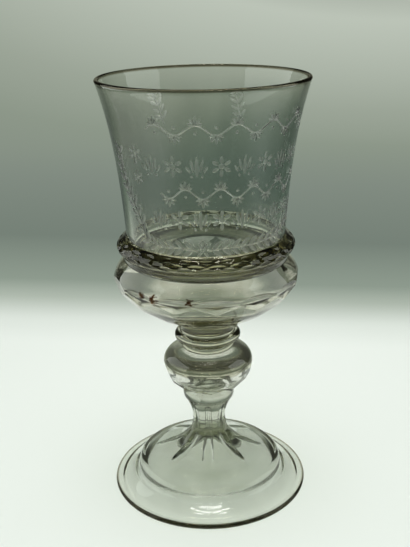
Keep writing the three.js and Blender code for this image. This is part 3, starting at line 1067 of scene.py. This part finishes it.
def domed_foot():
    edge_centre = FOOT_RADIUS - FOOT_EDGE / 2
    fillet_radius = DOME_RADIUS + DOME_FILLET
    fillet_top = BRIM_TOP + DOME_FILLET
    shoulder_foot = fillet_top + DOME_SIDE
    cone_edge = DOME_RADIUS - DOME_SHOULDER
    crown = FOOT_TOP - FOOT_CROWN
    hollow = [(radius, crown - drop) for radius, drop in FOOT_UNDERSIDE]
    underside = smooth_line([*hollow, (edge_centre - REST_WIDTH, 0)], 8)
    edge = quarter_round((edge_centre, 0), (FOOT_RADIUS, FOOT_EDGE / 2), True)
    edge += quarter_round((FOOT_RADIUS, FOOT_EDGE / 2), (edge_centre, FOOT_EDGE), False)[1:]
    brim = smooth_line([(edge_centre, FOOT_EDGE), *BRIM_LINE, (fillet_radius, BRIM_TOP)], 6)
    dome = quarter_round((fillet_radius, BRIM_TOP), (DOME_RADIUS, fillet_top), True, 10)
    dome += quarter_round((DOME_RADIUS, shoulder_foot), (cone_edge, SHOULDER_TOP), False, 10)
    cone = []
    for share in (0.33, 0.67):
        cone.append((cone_edge + (FLARE_RADIUS - cone_edge) * share, SHOULDER_TOP + CONE_RISE * share))
    flare = bezier(trumpet()[0][0], 16)
    bm = turned([*underside, *edge, *brim[1:-1], *dome, *cone, *flare, (0, FOOT_TOP)])
    mark_slots(bm, melted_at((FOOT_TOP, STEM_FOOT_RADIUS)))
    return finished("high_domed_foot", bm, [FOOT_GLASS, JOINT], "domed_foot")


cup = goblet_cup()
engrave(cup)
collar_ring()
faceted_bulb()
merese()
neck_wafer()
faceted_knop()
stem = fluted_stem()
foot = domed_foot()
for first in (0, 1):
    wheel = flute_wheels(first)
    for piece in (stem, foot):
        carved(piece, wheel)
    dropped(wheel)
for piece in (stem, foot):
    piece.data.set_sharp_from_angle(angle=math.radians(24))


# Stage. Its places are in metres, and what stands on it belongs to no piece.
WALL_RADIUS = 1.15
WALL_HEIGHT = 0.75
WALL_BEND = 0.3
FLOOR_LEVEL = -0.0001
# The paper's colour from the glass out to the wall and up it: white near the glass, then painted shade
# darkening to grey, lighter again up the wall and dark at its top.
PAPER_SHADES = [
    (0.0, (0.79, 0.845, 0.785)), (0.08, (0.84, 0.895, 0.835)), (0.1, (0.74, 0.8, 0.735)),
    (0.12, (0.44, 0.5, 0.43)), (0.14, (0.27, 0.325, 0.27)), (0.2, (0.18, 0.22, 0.185)),
    (0.32, (0.22, 0.26, 0.22)), (0.45, (0.265, 0.31, 0.25)), (0.53, (0.33, 0.375, 0.31)),
    (0.67, (0.5, 0.55, 0.475)), (0.78, (0.2, 0.22, 0.19)), (0.88, (0.07, 0.075, 0.065)),
]
DARK_ROOM = (0.05, 0.052, 0.04, 1)
LAMP_HEIGHT = 0.9
LAMPS_IN_ROW = 25
LAMP_SIZE = (0.012, 0.02, 0.002)
LAMP_ROWS = [(0.34, -0.21), (0.28, -0.155), (0.22, -0.105), (0.17, -0.06), (0.2, 0.26)]


def staged(name, bm, finish):
    """A thing of the stage."""
    thing = as_object(name, bm, (finish,))
    return thing


def glowing(name, colour, strength):
    finish = Finish(name)
    return finish.done(finish.node("ShaderNodeEmission", {}, {"Color": colour, "Strength": strength}))


def only_in_glass(thing, through):
    """Hides a thing from the camera and from the floor, so that only the glass shows it."""
    thing.visible_camera = False
    thing.visible_diffuse = False
    thing.visible_shadow = False
    thing.visible_transmission = through


def backdrop_finish():
    """A floor painted white near the glass and darker to grey as it sweeps up to a wall, as painted shade;
    near the glass it is lit and the shadow stays on it.
    """
    finish = Finish("paper_sweep")
    place = finish.place()
    x, y, z = (finish.part_of(place, axis) for axis in "XYZ")
    away = (x ** 4 + y ** 4) ** 0.25 + z
    depth = ((x * 0.45) ** 4 + y ** 4) ** 0.25 + z
    leaning = depth + x * (0.05 + depth / 4)
    share = (leaning / 2).clamped()
    colour = finish.node("ShaderNodeValToRGB", {"stops": PAPER_SHADES}, {"Fac": share})
    grain = finish.noise(900, detail=2)
    paper = finish.node("ShaderNodeBsdfPrincipled", {}, {
        "Base Color": colour, "Roughness": 0.9, "Specular IOR Level": 0.1,
        "Normal": finish.bump(grain, 0.1, 0.0002),
    })
    # Painted shade: beside the glass, the paper that the glass sees is darkened to a dark room.
    beside = (((x * x) ** 0.5 - 0.35) / 0.15).clamped() * (1.0 - finish.light_path("Is Camera Ray"))
    room = finish.blend(beside, colour, DARK_ROOM)
    shown = finish.node("ShaderNodeEmission", {}, {"Color": room, "Strength": 1.0})
    # Away from the glass the paper glows with its painted colour for the camera and in the glass, in place of
    # being lit.
    far = ((away - 0.17) / 0.1).clamped()
    seen = finish.light_path("Is Camera Ray") + finish.light_path("Is Glossy Ray")
    seen = (seen + finish.light_path("Is Transmission Ray")).clamped()
    return finish.done(finish.mix(far * seen, paper, shown))


def paper_sweep():
    """A round floor that bends up into a wall."""
    radius, height, bend, floor = (size / MM for size in (WALL_RADIUS, WALL_HEIGHT, WALL_BEND, FLOOR_LEVEL))
    line = [(near, floor) for near in (0, 60, 200, 400, 600)]
    line += quarter_round((radius - bend, floor), (radius, bend), True, 16)
    bm = turned([*line, (radius, height)], 96)
    if sum(face.normal.z for face in bm.faces) < 0:
        bmesh.ops.reverse_faces(bm, faces=bm.faces)
    staged("paper_sweep", bm, backdrop_finish())


paper_sweep()


def lamp_dots():
    """Rows of small lamps over the glass, seen only as points of light in it."""
    bm = bmesh.new()
    shape = Matrix.Diagonal((*LAMP_SIZE, 1))
    for reach, y in LAMP_ROWS:
        for step in range(LAMPS_IN_ROW):
            x = reach * (2 * step / (LAMPS_IN_ROW - 1) - 1)
            bmesh.ops.create_cube(bm, size=1, matrix=Matrix.Translation((x, y, LAMP_HEIGHT)) @ shape)
    dots = staged("lamp_dots", bm, glowing("lamp_dot", (1, 0.98, 0.95, 1), 20.0))
    only_in_glass(dots, True)


lamp_dots()


def white_panel(name, x, along, up, strength):
    """A white card or a soft lamp that stands beside the glass, between two places along and two up."""
    middle = Matrix.Translation((x, sum(along) / 2, sum(up) / 2))
    shape = Matrix.Diagonal((up[1] - up[0], along[1] - along[0], 1, 1))
    bm = bmesh.new()
    bmesh.ops.create_grid(
        bm, x_segments=1, y_segments=1, size=0.5, matrix=middle @ Matrix.Rotation(math.pi / 2, 4, "Y") @ shape,
    )
    panel = staged(name, bm, glowing(name, (0.95, 1, 0.97, 1), strength))
    only_in_glass(panel, False)


white_panel("left_card", -0.45, (-0.3, 0.35), (0.05, 0.5), 1.7)
white_panel("right_card", 0.45, (-0.28, 0.15), (0.05, 0.5), 1.7)
white_panel("left_lamp", -0.83, (-0.3, -0.06), (0.35, 0.48), 7.0)
white_panel("right_lamp", 0.83, (-0.3, -0.06), (0.35, 0.48), 7.0)


def soft_lamp(name, place, target, size, power):
    """A soft lamp that lights the floor and isn't seen in the glass."""
    light = bpy.data.lights.new(name, "AREA")
    light.shape = "RECTANGLE"
    light.size, light.size_y = size
    light.energy = power
    lamp = bpy.data.objects.new(name, light)
    lamp.location = place
    lamp.rotation_euler = (Vector(target) - Vector(place)).to_track_quat("-Z", "Y").to_euler()
    bpy.context.scene.collection.objects.link(lamp)
    lamp.visible_camera = False
    lamp.visible_glossy = False
    lamp.visible_transmission = False


soft_lamp("top_lamp", place=(0, 0, 0.9), target=(0, 0, 0.1), size=(0.5, 0.5), power=8.9)

world = bpy.data.worlds.new("room")
bpy.context.scene.world = world
world.use_nodes = True
room_light = world.node_tree.nodes["Background"].inputs
room_light["Color"].default_value = (0.05, 0.053, 0.048, 1)
room_light["Strength"].default_value = 1.0


# Camera, fitted to the photo: its turns in degrees, its lens in millimetres and its place in metres.
CAMERA_PITCH = 19.697
CAMERA_ROLL = -1.073
CAMERA_YAW = -0.109
CAMERA_LENS = 56.02
CAMERA_PLACE = (0, -0.37692, 0.2435)


def camera():
    pitch, roll, yaw = (math.radians(turn) for turn in (CAMERA_PITCH, CAMERA_ROLL, CAMERA_YAW))
    view = Vector((math.sin(yaw) * math.cos(pitch), math.cos(yaw) * math.cos(pitch), -math.sin(pitch)))
    right = Vector((math.cos(yaw), -math.sin(yaw), 0))
    up = right.cross(view)
    side = right * math.cos(roll) + up * math.sin(roll)
    top = up * math.cos(roll) - right * math.sin(roll)
    data = bpy.data.cameras.new("camera")
    data.lens = CAMERA_LENS
    data.sensor_width = 36
    data.clip_start, data.clip_end = 0.01, 20
    eye = bpy.data.objects.new("camera", data)
    turn = Matrix((side, top, -view)).transposed()
    eye.matrix_world = Matrix.Translation(CAMERA_PLACE) @ turn.to_4x4()
    bpy.context.scene.collection.objects.link(eye)
    bpy.context.scene.camera = eye


camera()
scene = bpy.context.scene
scene.view_settings.view_transform = "Standard"
scene.cycles.max_bounces = 28
scene.cycles.transmission_bounces = 28
scene.cycles.glossy_bounces = 16
scene.cycles.transparent_max_bounces = 48
